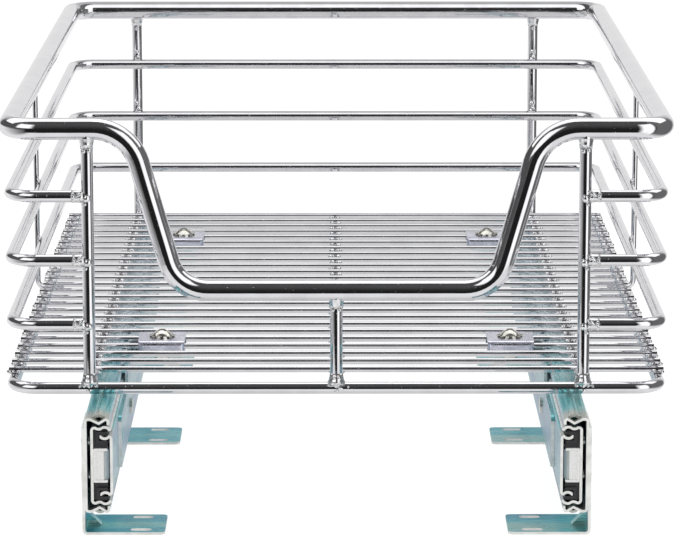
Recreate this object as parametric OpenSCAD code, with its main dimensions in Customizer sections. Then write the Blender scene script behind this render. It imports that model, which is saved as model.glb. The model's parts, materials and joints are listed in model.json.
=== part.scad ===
// Pull out cabinet basket on two ball bearing slides that stand on L brackets.
// Millimetres, +Z up, -Y is the side that the basket is pulled out of.
// The origin lies on the cabinet floor, in the middle of the footprint.

/* [Basket] */
// Width of the basket over the top rim
basket_w = 306; // [260:1:400]
// Depth of the basket between the middles of its front and rear wires
basket_d = 418; // [380:1:430]
// Height of the top rim above the bottom frame, middle to middle
basket_h = 119.6; // [105:0.2:180]
// Diameter of the top rim tube
rim_tube_d = 10; // [8:0.5:12]
// Bend radius of the corners of the top rim, to the middle of the tube
rim_corner_r = 13; // [10:0.5:20]
// Diameter of the rails, front and rear posts and bottom frame
wire_d = 5.6; // [4.6:0.2:6.4]
// Bend radius of the corners of the rails and bottom frame, to the middle of the wire
rail_corner_r = 12; // [8:0.5:20]
// Height of each side rail above the one below it
rail_pitch = 29.6; // [24:0.2:32]
// Diameter of the side posts
side_post_d = 2.8; // [2.4:0.1:4]
// Length of the side posts' feet on the bottom frame
side_foot_len = 9; // [4:0.5:16]
// Number of floor wires in front of the side posts
side_post_after = 12; // [10:1:14]

/* [Handle dip] */
// Depth of the handle dip in the front of the rim
dip_depth = 74.2; // [50:0.2:80]
// Length of the straight rim between each front corner and the dip
rim_shoulder = 25.5; // [16:0.5:40]
// Angle through which the rim bends down into the dip
dip_angle = 74; // [60:1:80]
// Radius of the upper bends of the dip, to the middle of the tube
dip_upper_r = 21.5; // [16:0.5:26]
// Radius of the lower bends of the dip, to the middle of the tube
dip_lower_r = 18; // [14:0.5:24]

/* [Floor] */
// Diameter of the floor wires
floor_wire_d = 3; // [2.4:0.1:3.6]
// Number of floor wires
floor_wires_n = 25; // [23:1:27]
// Distance of the first floor wire behind the front wires
floor_front_gap = 19; // [14:0.5:24]
// Distance of the last floor wire before the rear wires
floor_rear_gap = 15; // [10:0.5:20]

/* [Slides] */
// Length of the slides, closed
slide_len = 450; // [440:1:460]
// Height of the outer slide member
slide_h = 45.5; // [44.5:0.1:46]
// Thickness of the whole slide, from the outer web to the inner web
slide_t = 12.7; // [12.5:0.1:13.2]
// Thickness of the slide steel
slide_steel_t = 1.2; // [1:0.05:1.3]
// Height of the intermediate member over its rolled edges
middle_h = 36.4; // [36.2:0.1:36.8]
// Height of the inner member
inner_h = 27.8; // [27.4:0.1:28.2]
// Diameter of the balls between the outer and intermediate members
outer_ball_d = 4; // [3.9:0.05:4.1]
// Diameter of the balls between the intermediate and inner members
inner_ball_d = 3.8; // [3.6:0.05:3.9]
// Distance between neighbouring balls in a cage
ball_pitch = 17; // [12:0.5:24]
// Distance of the basket's front wires behind the slides' front ends
basket_set_back = 41; // [30:1:60]
// Distance of the slides' inner faces inside the middles of the front posts
slide_inset = 12.5; // [10:0.5:20]

/* [Brackets] */
// Thickness of the bracket plate
bracket_t = 1.2; // [1:0.1:2]
// Width of each bracket along the slide
bracket_w = 30; // [24:1:36]
// Distance from each bracket to the next along the slide
bracket_pitch = 163; // [130:1:190]
// Length of the bracket foot, from the outer face of the leg
bracket_foot = 36.8; // [34:0.2:46]
// Height of the bracket leg above the cabinet floor
bracket_leg = 49.2; // [46:0.2:54.6]
// Height of the slide above the cabinet floor
slide_lift = 9.2; // [8.8:0.1:14]
// Length of the screw slots in the feet, overall
slot_len = 9.5; // [7:0.1:12]
// Width of the screw slots
slot_w = 4; // [3.4:0.1:5]
// Distance between the two screw slots of a foot
slot_spacing = 21; // [16:0.5:22]
// Distance from the bracket's outer face to the middle of the slots
slot_reach = 26; // [24:0.5:28]
// Height and length of the stamped gusset in the bracket's bend
gusset = 6.5; // [4:0.1:7]

/* [Carriers and clamps] */
// Thickness of the carrier plate
carrier_t = 1.5; // [1.2:0.1:2]
// Height of the carrier strip on the inner member
carrier_strip_h = 24; // [18:0.5:25]
// Distance of the carriers' front edges behind the middle of the front wires
carrier_start = 2.5; // [0:0.5:20]
// Distance of the clamp bolts inside the slides' inner faces
clamp_reach = 17; // [13:0.5:24]
// Width of the clamp plates and of the carrier tabs
clamp_w = 22; // [20:0.5:26]
// Thickness of the clamp plates
clamp_t = 1.5; // [1.2:0.1:2]
// Depth of the flanges at the clamp plates' front and back
clamp_flange = 3; // [2:0.1:4]
// Diameter of the clamp bolts
clamp_bolt_d = 5; // [4:0.5:6]
// Number of floor wires in front of the front clamps
front_clamp_after = 4; // [3:1:6]
// Number of floor wires in front of the rear clamps
rear_clamp_after = 20; // [18:1:21]

/* [Hidden] */
$fn = 48;

chrome = [0.80, 0.81, 0.83];
zinc = [0.55, 0.68, 0.71];
bright_zinc = [0.78, 0.80, 0.82];
ball_steel = [0.70, 0.70, 0.72];
black_plastic = [0.08, 0.08, 0.09];
white_plastic = [0.93, 0.93, 0.92];

// Gap left between round wires that are welded where they touch
weld_gap = 0.05;
// How far straight runs reach into their bends, and how much thinner they are all round
bend_reach = 0.4;
bend_ease = 0.02;
// Gap between the bottom frame and the slides under it
frame_clearance = 0.3;
// Gap around balls in their races and cages
race_gap = 0.1;
// Running gap between pieces that slide past each other
running_gap = 0.3;
// Gap around bolts, screws and rivets in their holes, on the diameter
hole_gap = 0.3;
// Gap between plastic pieces and the steel that they are pressed into
seat_gap = 0.05;
// How far cutters reach past the faces that they cut
past = 1;

// Heights
slide_mid_z = slide_lift + slide_h / 2;
slide_top_z = slide_lift + slide_h;
frame_z = slide_top_z + frame_clearance + wire_d / 2;
rim_z = frame_z + basket_h;
dip_z = rim_z - dip_depth;
floor_wire_z = frame_z + wire_d / 2 + weld_gap + floor_wire_d / 2;
floor_underside_z = floor_wire_z - floor_wire_d / 2;
floor_top_z = floor_wire_z + floor_wire_d / 2;

// Depths. The rear posts stand behind the rear wires.
post_offset = wire_d + weld_gap;
basket_rear_reach = basket_set_back + basket_d + post_offset + wire_d / 2;
overall_d = max(slide_len, basket_rear_reach);
slide_front_y = -overall_d / 2;
front_y = slide_front_y + basket_set_back;
rear_y = front_y + basket_d;

// Side posts stand outside the rails, their feet over the bottom frame
side_offset = (wire_d + side_post_d) / 2 + weld_gap;
side_top_z = rim_z - rim_tube_d / 4;

// Widths
rim_half = (basket_w - rim_tube_d) / 2;
dip_bend_x = rim_half - rim_corner_r - rim_shoulder;
dip_rise_half = dip_bend_x - dip_upper_r * tan(dip_angle / 2);
dip_w = 2 * (dip_rise_half - dip_depth / tan(dip_angle));
post_x = dip_bend_x + wire_d / 2;
slide_face_x = post_x - slide_inset;
slide_web_x = slide_face_x + slide_t;
bracket_face_x = slide_web_x + bracket_t;

// Floor
floor_pitch = (basket_d - floor_front_gap - floor_rear_gap) / (floor_wires_n - 1);
function floor_wire_y(i) = front_y + floor_front_gap + i * floor_pitch;
side_post_y = floor_wire_y(side_post_after) - floor_pitch / 2;

// Slide profile. d runs from the outer web into the slide, h up from its middle.
outer_inset = 1.3;
outer_depth = slide_t - outer_inset;
middle_web_d = 2.8;
member_bend_r = 1.8;
lip_bend_r = 1.8;
// Gap between the outer member's lips and the intermediate member's humps
lip_gap = 0.5;
// End of the inner member's flanges, from the outer web
inner_end_d = 7;

// Races. The steel wraps round the balls, so that each flange has a hump or a groove.
outer_race_d = 6.6;
inner_race_d = 9.2;
outer_race_r = outer_ball_d / 2 + race_gap;
inner_race_r = inner_ball_d / 2 + race_gap;
outer_race_h = slide_h / 2 - slide_steel_t - outer_race_r;
inner_race_h = middle_h / 2 - slide_steel_t - inner_race_r;
// How far the humps stand above the flat parts of the flanges
outer_hump = 1;
middle_hump = 0.3;
// Angles round the inner balls from which the intermediate member's rolled edges start and end
edge_start = 120;
edge_end = 22;

// Ball cages, a pressed steel one outside and a moulded one inside
outer_cage_t = 0.5;
inner_cage_t = 0.8;
inner_cage_gap = 0.4;
cage_w = 5.2;

// Members that move end before the rear bumper
bumper_len = 6;
moving_len = slide_len - bumper_len;
travel = slide_len;
guide_len = 12;
outer_cage_len = 205;
inner_cage_len = 190;
// Distance of each cage behind the front end of its race when the slide is open
cage_end_gap = 5;
outer_cage_y = slide_front_y + travel / 4 + cage_end_gap;
inner_cage_y = slide_front_y + travel / 4 + guide_len + cage_end_gap;

// Plastic pieces in the ends of the slides
guide_end = 1.3;
guide_rib = 1.4;
guide_recess = 1;
guide_corner_r = 0.8;
guide_gap = 0.2;
stop_h = 15.6;
stop_wall = 1;
stop_end_d = 10.4;
bumper_w = 8;
bumper_h = 12;
bumper_corner_r = 1.5;

// Stops pressed in at the front of the outer member's flanges
pressed_len = 3;
pressed_start_d = 2.8;
pressed_end_d = 9.6;
pressed_low_h = middle_h / 2 + lip_gap;

// Mounting holes in the webs, in pairs of a round one and a slot
hole_first = 37;
hole_step = 128;
hole_pairs = 3;
web_hole_d = 4.6;
web_slot_len = 9;
web_slot_after = 24;
access_len = 16;
access_w = 9;

// Rivets and screws
rivet_d = 4;
rivet_head_d = 8;
rivet_head_t = 0.9;
rivet_tail_d = 6;
rivet_tail_t = 0.5;
rivet_rise = 8;
screw_d = 4;
screw_head_d = 7.4;
screw_head_t = 1.2;
screw_reach = 0.5;
screw_front_gap = 70;
screw_rear_gap = 10;

// Clamps and carriers
clamp_x = slide_face_x - clamp_reach;
clamp_ys = [for (n = [front_clamp_after, rear_clamp_after]) floor_wire_y(n) - floor_pitch / 2];
clamp_flange_gap = 0.3;
clamp_bend_in = 0.6;
clamp_bend_r = clamp_t + clamp_bend_in;
clamp_corner_r = 2;
clamp_len = floor_pitch + floor_wire_d + 2 * (clamp_flange_gap + clamp_t);
carrier_front_y = front_y + carrier_start;
carrier_tail = 8;
carrier_rear_y = clamp_ys[1] + clamp_w / 2 + carrier_tail;
carrier_bottom_z = slide_mid_z - carrier_strip_h / 2;
carrier_strip_z = carrier_bottom_z + carrier_strip_h;
carrier_edge_r = 3;
carrier_bend_in = 0.5;
carrier_bend_r = carrier_t + carrier_bend_in;
carrier_slope = 9;
carrier_outer_x = slide_face_x;
carrier_inner_x = slide_face_x - carrier_t;
tab_end_x = clamp_x - clamp_w / 2;
washer_d = 12.4;
washer_t = 0.8;
washer_teeth = 12;
washer_notch = 2;
washer_notch_w = 1.5;
bolt_head_d = 9.5;
bolt_head_h = 2.8;
recess_len = 5;
recess_w = 1.1;
recess_depth = 1.4;
nut_flats = 8;
nut_h = 4;
bolt_end = 1;

// Brackets
bracket_bend_in = 1;
bracket_bend_r = bracket_t + bracket_bend_in;
gusset_w = 5;
foot_corner_r = 2.5;

// ---------- helpers ----------

// One straight run of wire from the origin along +X
module straight_wire(d, len) {
  rotate([0, 90, 0]) cylinder(d = d, h = len);
}

// Wire bent step by step, each row [feed, roll, bend radius, bend angle].
// It starts at the origin along +X and bends towards its own +Y. The runs reach
// a little into their bends and are a hair thinner there, so that both fuse.
module bent_wire(d, rows, closed = false, i = 0) {
  if (i < len(rows)) {
    feed = rows[i][0];
    roll = rows[i][1];
    r = rows[i][2];
    a = rows[i][3];
    reach_back = i > 0 || closed ? bend_reach : 0;
    reach_on = a > 0 || closed ? bend_reach : 0;
    if (feed > 0) translate([-reach_back, 0, 0])
      straight_wire(d - 2 * bend_ease, feed + reach_back + reach_on);
    translate([feed, 0, 0]) rotate([roll, 0, 0]) translate([0, r, 0]) {
      if (a > 0) rotate([0, 0, -90]) rotate_extrude(angle = a) translate([r, 0]) circle(d = d);
      rotate([0, 0, a]) translate([0, -r, 0]) bent_wire(d, rows, closed, i + 1);
    }
  }
}

// Everything is modelled on the right, and mirrored for the left
module on_left() {
  mirror([1, 0, 0]) children();
}

// A quarter of a flat ring in the first quadrant, turned by a
module quarter_ring(r, t, a) {
  rotate(a) intersection() {
    difference() {
      circle(r = r);
      circle(r = r - t);
    }
    square([r + past, r + past]);
  }
}

// Web on the h axis with a bend at each end, for flanges that leave towards +d
module web_and_bends(h) {
  for (side = [0, 1]) mirror([0, side]) {
    square([slide_steel_t, h / 2 - member_bend_r]);
    translate([member_bend_r, h / 2 - member_bend_r]) quarter_ring(member_bend_r, slide_steel_t, 90);
  }
}

// Rectangle from d0 to d1 and from one height to another, on both sides of the middle
module both_sides(d0, d1, low, high) {
  for (side = [0, 1]) mirror([0, side]) translate([d0, low]) square([d1 - d0, high - low]);
}

// Circles round the balls of both sides
module race_circles(d, h, r) {
  for (side = [-1, 1]) translate([d, side * h]) circle(r = r);
}

// Steel rolled round the inner balls, from edge_start over the top to edge_end
module rolled_edges() {
  r = inner_race_r + slide_steel_t;
  corners = [for (a = [edge_end, (edge_end + edge_start) / 2, edge_start]) 2 * r * [cos(a), sin(a)]];
  for (side = [0, 1]) mirror([0, side]) translate([inner_race_d, inner_race_h]) intersection() {
    circle(r = r);
    polygon(concat([[0, 0]], corners));
  }
}

module outer_section() {
  top = slide_h / 2 - outer_hump;
  lip_end = middle_h / 2 + lip_gap;
  lip_start = top - lip_bend_r;
  difference() {
    union() {
      web_and_bends(2 * top);
      both_sides(member_bend_r, outer_depth - lip_bend_r, top - slide_steel_t, top);
      for (side = [0, 1]) mirror([0, side])
        translate([outer_depth - lip_bend_r, lip_start]) quarter_ring(lip_bend_r, slide_steel_t, 0);
      both_sides(outer_depth - slide_steel_t, outer_depth, lip_end, lip_start);
      intersection() {
        race_circles(outer_race_d, outer_race_h, outer_race_r + slide_steel_t);
        both_sides(0, slide_t, top - slide_steel_t / 2, top + 2 * outer_hump);
      }
    }
    race_circles(outer_race_d, outer_race_h, outer_race_r);
  }
}

module middle_section() {
  top = middle_h / 2 - middle_hump;
  difference() {
    union() {
      translate([middle_web_d, 0]) web_and_bends(2 * top);
      both_sides(middle_web_d + member_bend_r, inner_race_d, top - slide_steel_t, top);
      intersection() {
        race_circles(outer_race_d, outer_race_h, outer_race_r + slide_steel_t);
        both_sides(0, slide_t, inner_race_h, top - slide_steel_t / 2);
      }
      rolled_edges();
    }
    race_circles(outer_race_d, outer_race_h, outer_race_r);
    race_circles(inner_race_d, inner_race_h, inner_race_r);
  }
}

// The inner member opens towards the intermediate one
module inner_section() {
  top = inner_h / 2;
  difference() {
    union() {
      translate([slide_t, 0]) mirror([1, 0]) web_and_bends(inner_h);
      both_sides(inner_end_d, slide_t - member_bend_r, top - slide_steel_t, top);
      intersection() {
        race_circles(inner_race_d, inner_race_h, inner_race_r + slide_steel_t);
        both_sides(inner_end_d, slide_t - slide_steel_t, 0, top - slide_steel_t / 2);
      }
    }
    race_circles(inner_race_d, inner_race_h, inner_race_r);
  }
}

// Section given in d and h, run along the right slide from y by len
module along_slide(y, len) {
  translate([slide_web_x, y + len, slide_mid_z]) rotate([90, 0, 0])
    linear_extrude(len) mirror([1, 0]) children();
}

// Cylinder across the right slide, from d0 to d1, at y and height h
module across_slide(d0, d1, y, h, diameter) {
  translate([slide_web_x - d1, y, slide_mid_z + h]) rotate([0, 90, 0])
    cylinder(d = diameter, h = d1 - d0);
}

// Flat rectangle with round corners, centred
module rounded_rect(w, l, r) {
  square([w - 2 * r, l], center = true);
  square([w, l - 2 * r], center = true);
  for (x = [-1, 1], y = [-1, 1]) translate([x * (w / 2 - r), y * (l / 2 - r)]) circle(r = r);
}

// What a round corner takes away from a plate that lies in -X and -Y of it
module outside_corner(r) {
  translate([-r, -r]) difference() {
    square([r + past, r + past]);
    circle(r = r);
  }
}

// Slot along X, centred
module slot_2d(len, w) {
  square([len - w, w], center = true);
  for (x = [-1, 1]) translate([x * (len - w) / 2, 0]) circle(d = w);
}

// ---------- basket wires ----------

// Closed top rim, from its rear left bend along -X
module rim_path(d) {
  leg = dip_depth / sin(dip_angle) - (dip_upper_r + dip_lower_r) * tan(dip_angle / 2);
  side = basket_d - 2 * rim_corner_r;
  rear = 2 * (rim_half - rim_corner_r);
  bottom = dip_w - 2 * dip_lower_r * tan(dip_angle / 2);
  rows = [
    [0, 0, rim_corner_r, 90],
    [side, 0, rim_corner_r, 90],
    [rim_shoulder, -90, dip_upper_r, dip_angle],
    [leg, 180, dip_lower_r, dip_angle],
    [bottom, 0, dip_lower_r, dip_angle],
    [leg, 180, dip_upper_r, dip_angle],
    [rim_shoulder, 90, rim_corner_r, 90],
    [side, 0, rim_corner_r, 90],
    [rear, 0, 0, 0]
  ];
  translate([rim_corner_r - rim_half, rear_y, rim_z]) rotate([0, 0, 180]) bent_wire(d, rows, true);
}

module top_rim() {
  color(chrome) rim_path(rim_tube_d);
}

// Straight cutters that shape wire ends to the wires they meet
module along_x_cutter(y, z, d) {
  translate([-basket_w / 2, y, z]) straight_wire(d + 2 * weld_gap, basket_w);
}

module along_y_cutter(x, z, d) {
  translate([x, front_y, z]) rotate([0, 0, 90]) straight_wire(d + 2 * weld_gap, basket_d);
}

module post_cutter(x, z) {
  translate([x, front_y, z - wire_d]) cylinder(d = wire_d + 2 * weld_gap, h = 2 * wire_d);
}

// Rail number n above the bottom frame, open between the front posts
module side_rail(n) {
  z = frame_z + n * rail_pitch;
  stub = rim_half - rail_corner_r - post_x;
  side = basket_d - 2 * rail_corner_r;
  rows = [
    [stub, 0, rail_corner_r, 90],
    [side, 0, rail_corner_r, 90],
    [2 * (rim_half - rail_corner_r), 0, rail_corner_r, 90],
    [side, 0, rail_corner_r, 90],
    [stub, 0, 0, 0]
  ];
  color(chrome) difference() {
    translate([post_x, front_y, z]) bent_wire(wire_d, rows);
    for (x = [-post_x, post_x]) post_cutter(x, z);
  }
}

// Closed loop, from its front right bend along +X
module bottom_frame() {
  width = 2 * (rim_half - rail_corner_r);
  side = basket_d - 2 * rail_corner_r;
  rows = [
    [0, 0, rail_corner_r, 90],
    [side, 0, rail_corner_r, 90],
    [width, 0, rail_corner_r, 90],
    [side, 0, rail_corner_r, 90],
    [width, 0, 0, 0]
  ];
  color(chrome) translate([width / 2, front_y, frame_z]) bent_wire(wire_d, rows, true);
}

// Post between the bottom frame and a rim run whose middle is at top_z
module front_post(x, top_z) {
  color(chrome) difference() {
    translate([x, front_y, frame_z]) cylinder(d = wire_d, h = top_z - frame_z);
    along_x_cutter(front_y, frame_z, wire_d);
    along_x_cutter(front_y, top_z, rim_tube_d);
  }
}

// Post on the outside of the rear wires
module rear_post() {
  color(chrome) difference() {
    translate([post_x, rear_y + post_offset, frame_z - wire_d / 2])
      cylinder(d = wire_d, h = rim_z - frame_z + wire_d / 2);
    along_x_cutter(rear_y, rim_z, rim_tube_d);
  }
}

// Thin post on the outside of the side wires, its foot bent in over the bottom frame
module side_post() {
  drop = side_top_z - frame_z - 2 * side_offset;
  rows = [[drop, 0, side_offset, 90], [side_foot_len, 0, 0, 0]];
  color(chrome) difference() {
    translate([rim_half + side_offset, side_post_y, side_top_z])
      rotate([0, 90, 90]) bent_wire(side_post_d, rows);
    along_y_cutter(rim_half, rim_z, rim_tube_d);
  }
}

// Long wires between the front and rear of the bottom frame, in line with the front posts
module underfloor_wires() {
  color(chrome) difference() {
    for (x = [-post_x, 0, post_x])
      translate([x, front_y, frame_z]) rotate([0, 0, 90]) straight_wire(wire_d, basket_d);
    along_x_cutter(front_y, frame_z, wire_d);
    along_x_cutter(rear_y, frame_z, wire_d);
    for (x = [-post_x, 0, post_x]) post_cutter(x, frame_z);
  }
}

module floor_wires() {
  len = 2 * rim_half + wire_d;
  color(chrome) for (i = [0 : floor_wires_n - 1])
    translate([-len / 2, floor_wire_y(i), floor_wire_z]) straight_wire(floor_wire_d, len);
}

// ---------- clamps and carriers ----------

// Plate over two floor wires, its front and back edges turned down
module clamp_plate(y) {
  color(bright_zinc) translate([clamp_x, y, floor_top_z]) difference() {
    intersection() {
      rotate([90, 0, 90]) linear_extrude(clamp_w, center = true) for (side = [0, 1]) mirror([side, 0]) {
        square([clamp_len / 2 - clamp_bend_r, clamp_t]);
        translate([clamp_len / 2 - clamp_bend_r, clamp_t - clamp_bend_r])
          quarter_ring(clamp_bend_r, clamp_t, 0);
        translate([clamp_len / 2 - clamp_t, -clamp_flange])
          square([clamp_t, clamp_flange + clamp_t - clamp_bend_r]);
      }
      translate([0, 0, -clamp_flange - past]) linear_extrude(clamp_flange + clamp_t + 2 * past)
        rounded_rect(clamp_w, clamp_len, clamp_corner_r);
    }
    translate([0, 0, -past]) cylinder(d = clamp_bolt_d + hole_gap, h = clamp_t + 2 * past);
  }
}

// Toothed lock washer between the bolt head and the clamp plate
module clamp_washer(y) {
  translate([clamp_x, y, floor_top_z + clamp_t]) difference() {
    cylinder(d = washer_d, h = washer_t);
    translate([0, 0, -past]) cylinder(d = clamp_bolt_d + hole_gap, h = washer_t + 2 * past);
    for (n = [0 : washer_teeth - 1]) rotate(360 * n / washer_teeth)
      translate([washer_d / 2 - washer_notch, -washer_notch_w / 2, -past])
        cube([washer_notch + past, washer_notch_w, washer_t + 2 * past]);
  }
}

module clamp_washers() {
  color(bright_zinc) for (y = clamp_ys) {
    clamp_washer(y);
    on_left() clamp_washer(y);
  }
}

// Domed bolt with a cross recess, down through the washer, the clamp plate and the carrier tab
module clamp_bolt(y) {
  head_z = floor_top_z + clamp_t + washer_t;
  tip_z = floor_underside_z - carrier_t - nut_h - bolt_end;
  dome_r = (bolt_head_d * bolt_head_d / 4 + bolt_head_h * bolt_head_h) / (2 * bolt_head_h);
  translate([clamp_x, y, 0]) difference() {
    union() {
      translate([0, 0, tip_z]) cylinder(d = clamp_bolt_d, h = head_z - tip_z);
      intersection() {
        translate([0, 0, head_z + bolt_head_h - dome_r]) sphere(r = dome_r);
        translate([0, 0, head_z]) cylinder(d = bolt_head_d, h = bolt_head_h);
      }
    }
    for (turn = [45, 135]) translate([0, 0, head_z + bolt_head_h - recess_depth]) rotate(turn)
      translate([-recess_len / 2, -recess_w / 2, 0]) cube([recess_len, recess_w, recess_depth + past]);
  }
}

module clamp_bolts() {
  color(bright_zinc) for (y = clamp_ys) {
    clamp_bolt(y);
    on_left() clamp_bolt(y);
  }
}

// Hexagon nut under the carrier tab
module clamp_nut(y) {
  translate([clamp_x, y, floor_underside_z - carrier_t - nut_h]) difference() {
    cylinder(d = nut_flats / cos(30), h = nut_h, $fn = 6);
    translate([0, 0, -past]) cylinder(d = clamp_bolt_d + hole_gap, h = nut_h + 2 * past);
  }
}

module clamp_nuts() {
  color(bright_zinc) for (y = clamp_ys) {
    clamp_nut(y);
    on_left() clamp_nut(y);
  }
}

// Y places of the screws that hold a carrier to the inner member
screw_ys = [
  carrier_front_y + screw_front_gap,
  (clamp_ys[0] + clamp_ys[1]) / 2,
  carrier_rear_y - screw_rear_gap
];
screw_rise = carrier_bottom_z + carrier_strip_h / 2 - slide_mid_z;

// Side view of the carrier's upright plate, in y and z
module carrier_outline() {
  top = floor_underside_z;
  y0 = carrier_front_y;
  difference() {
    polygon([
      [y0, carrier_bottom_z], [carrier_rear_y, carrier_bottom_z],
      [carrier_rear_y, carrier_strip_z],
      [clamp_ys[1] + clamp_w / 2, top], [clamp_ys[1] - clamp_w / 2, top],
      [clamp_ys[1] - clamp_w / 2 - carrier_slope, carrier_strip_z],
      [clamp_ys[0] + clamp_w / 2 + carrier_slope, carrier_strip_z],
      [clamp_ys[0] + clamp_w / 2, top], [clamp_ys[0] - clamp_w / 2, top],
      [clamp_ys[0] - clamp_w / 2 - carrier_slope, carrier_strip_z],
      [y0, carrier_strip_z]
    ]);
    translate([y0, carrier_strip_z]) mirror([1, 0]) outside_corner(carrier_edge_r);
  }
}

// Upright strip on the inner member, with tabs bent in under the floor wires
module carrier() {
  tab_len = carrier_outer_x - carrier_bend_r - tab_end_x;
  bend_z = floor_underside_z - carrier_bend_r;
  color(zinc) difference() {
    union() {
      difference() {
        translate([carrier_inner_x, 0, 0]) rotate([90, 0, 90]) linear_extrude(carrier_t) carrier_outline();
        translate([carrier_inner_x - past, carrier_front_y, bend_z])
          cube([carrier_t + 2 * past, carrier_rear_y - carrier_front_y, carrier_bend_r + past]);
      }
      for (y = clamp_ys) translate([carrier_outer_x - carrier_bend_r, y, bend_z]) {
        rotate([90, 0, 0]) linear_extrude(clamp_w, center = true) quarter_ring(carrier_bend_r, carrier_t, 0);
        translate([-tab_len, -clamp_w / 2, carrier_bend_r - carrier_t]) cube([tab_len, clamp_w, carrier_t]);
      }
    }
    for (y = clamp_ys) translate([clamp_x, y, floor_underside_z - carrier_t - past])
      cylinder(d = clamp_bolt_d + hole_gap, h = carrier_t + 2 * past);
    for (y = screw_ys)
      across_slide(slide_t - past, slide_t + carrier_t + past, y, screw_rise, screw_d + hole_gap);
  }
}

module carrier_screw(y) {
  tip_d = slide_t - slide_steel_t - screw_reach;
  across_slide(tip_d, slide_t + carrier_t + screw_head_t, y, screw_rise, screw_d);
  across_slide(slide_t + carrier_t, slide_t + carrier_t + screw_head_t, y, screw_rise, screw_head_d);
}

module carrier_screws() {
  color(bright_zinc) for (y = screw_ys) {
    carrier_screw(y);
    on_left() carrier_screw(y);
  }
}

// ---------- slides ----------

// Stops pressed in across the front of the outer member's flanges
module pressed_stops() {
  flat = slide_h / 2 - outer_hump;
  along_slide(slide_front_y, pressed_len) for (side = [0, 1]) mirror([0, side]) polygon([
    [pressed_start_d, flat], [outer_race_d, pressed_low_h + slide_steel_t], [pressed_end_d, flat],
    [pressed_end_d, flat - slide_steel_t], [outer_race_d, pressed_low_h],
    [pressed_start_d, flat - slide_steel_t]
  ]);
}

// Repeats its children, given at y 0, at every pair of mounting holes
module hole_places() {
  for (n = [0 : hole_pairs - 1]) translate([0, slide_front_y + hole_first + n * hole_step, 0]) children();
}

// Slot through the right slide from d0 to d1, its length along the slide
module slot_across_slide(d0, d1, y, len, w) {
  translate([slide_web_x - d1, y, slide_mid_z]) rotate([90, 0, 90]) linear_extrude(d1 - d0) slot_2d(len, w);
}

module outer_member() {
  color(zinc) difference() {
    union() {
      difference() {
        along_slide(slide_front_y, slide_len) outer_section();
        along_slide(slide_front_y - past, pressed_len + past)
          both_sides(pressed_start_d, pressed_end_d, outer_race_h + outer_cage_t, slide_h / 2 + past);
      }
      pressed_stops();
    }
    rivet_places() across_slide(-past, slide_steel_t + past, 0, 0, rivet_d + hole_gap);
    hole_places() {
      across_slide(-past, slide_steel_t + past, 0, 0, web_hole_d);
      slot_across_slide(-past, slide_steel_t + past, web_slot_after, web_slot_len, web_hole_d);
    }
  }
}

module intermediate_member() {
  d0 = middle_web_d - past;
  d1 = middle_web_d + slide_steel_t + past;
  color(bright_zinc) difference() {
    along_slide(slide_front_y, moving_len) middle_section();
    hole_places() slot_across_slide(d0, d1, web_slot_after / 2, web_slot_after + access_len, access_w);
  }
}

module inner_member() {
  color(zinc) difference() {
    along_slide(slide_front_y, moving_len) inner_section();
    for (y = screw_ys)
      across_slide(slide_t - slide_steel_t - past, slide_t + past, y, screw_rise, screw_d + hole_gap);
  }
}

// Y places of the balls in a cage that starts at y
function ball_ys(y, len) = [for (b = [ball_pitch / 2 : ball_pitch : len - ball_pitch / 2]) y + b];

// Channel with its web at d0 and a hole for each ball in both flanges
module ball_cage(y, len, t, d0, d, h, ball_d) {
  difference() {
    along_slide(y, len) {
      translate([d0, -h]) square([t, 2 * h]);
      both_sides(d0, d + cage_w / 2, h - t / 2, h + t / 2);
    }
    for (b = ball_ys(y, len)) translate([slide_web_x - d, b, slide_mid_z - h - t])
      cylinder(d = ball_d + 2 * race_gap, h = 2 * (h + t));
  }
}

module balls(y, len, d, h, ball_d) {
  for (b = ball_ys(y, len), side = [-1, 1])
    translate([slide_web_x - d, b, slide_mid_z + side * h]) sphere(d = ball_d);
}

module outer_cage() {
  web_d = slide_steel_t + rivet_tail_t + running_gap;
  color(ball_steel)
    ball_cage(outer_cage_y, outer_cage_len, outer_cage_t, web_d, outer_race_d, outer_race_h, outer_ball_d);
}

module outer_balls() {
  color(ball_steel) balls(outer_cage_y, outer_cage_len, outer_race_d, outer_race_h, outer_ball_d);
}

module inner_cage() {
  web_d = middle_web_d + slide_steel_t + inner_cage_gap;
  color(black_plastic)
    ball_cage(inner_cage_y, inner_cage_len, inner_cage_t, web_d, inner_race_d, inner_race_h, inner_ball_d);
}

module inner_balls() {
  color(ball_steel) balls(inner_cage_y, inner_cage_len, inner_race_d, inner_race_h, inner_ball_d);
}

// Rectangle with round corners from d0 to d1, on both sides of the middle
module both_rounded(d0, d1, low, high, r) {
  for (side = [0, 1]) mirror([0, side])
    translate([(d0 + d1) / 2, (low + high) / 2]) rounded_rect(d1 - d0, high - low, r);
}

// Hooked guides in the front end of the intermediate member, around the inner one
module front_guides() {
  d0 = middle_web_d + slide_steel_t + seat_gap;
  d1 = inner_race_d + guide_end;
  top = outer_race_h - outer_race_r - slide_steel_t - seat_gap;
  under = stop_h / 2 + guide_gap;
  hook_d = inner_end_d - running_gap;
  hook_top = inner_h / 2 + running_gap;
  hook_under = inner_race_h - inner_race_r - slide_steel_t - running_gap;
  color(black_plastic) {
    along_slide(slide_front_y + guide_recess, guide_len - guide_recess) difference() {
      both_rounded(d0, d1, under, top, guide_corner_r);
      both_sides(hook_d, slide_t, hook_under, hook_top);
    }
    along_slide(slide_front_y, guide_recess + past) difference() {
      both_rounded(hook_d - guide_rib, d1, hook_under - guide_rib, hook_top + guide_rib, guide_corner_r);
      both_sides(hook_d, slide_t, hook_under, hook_top);
    }
  }
}

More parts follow.
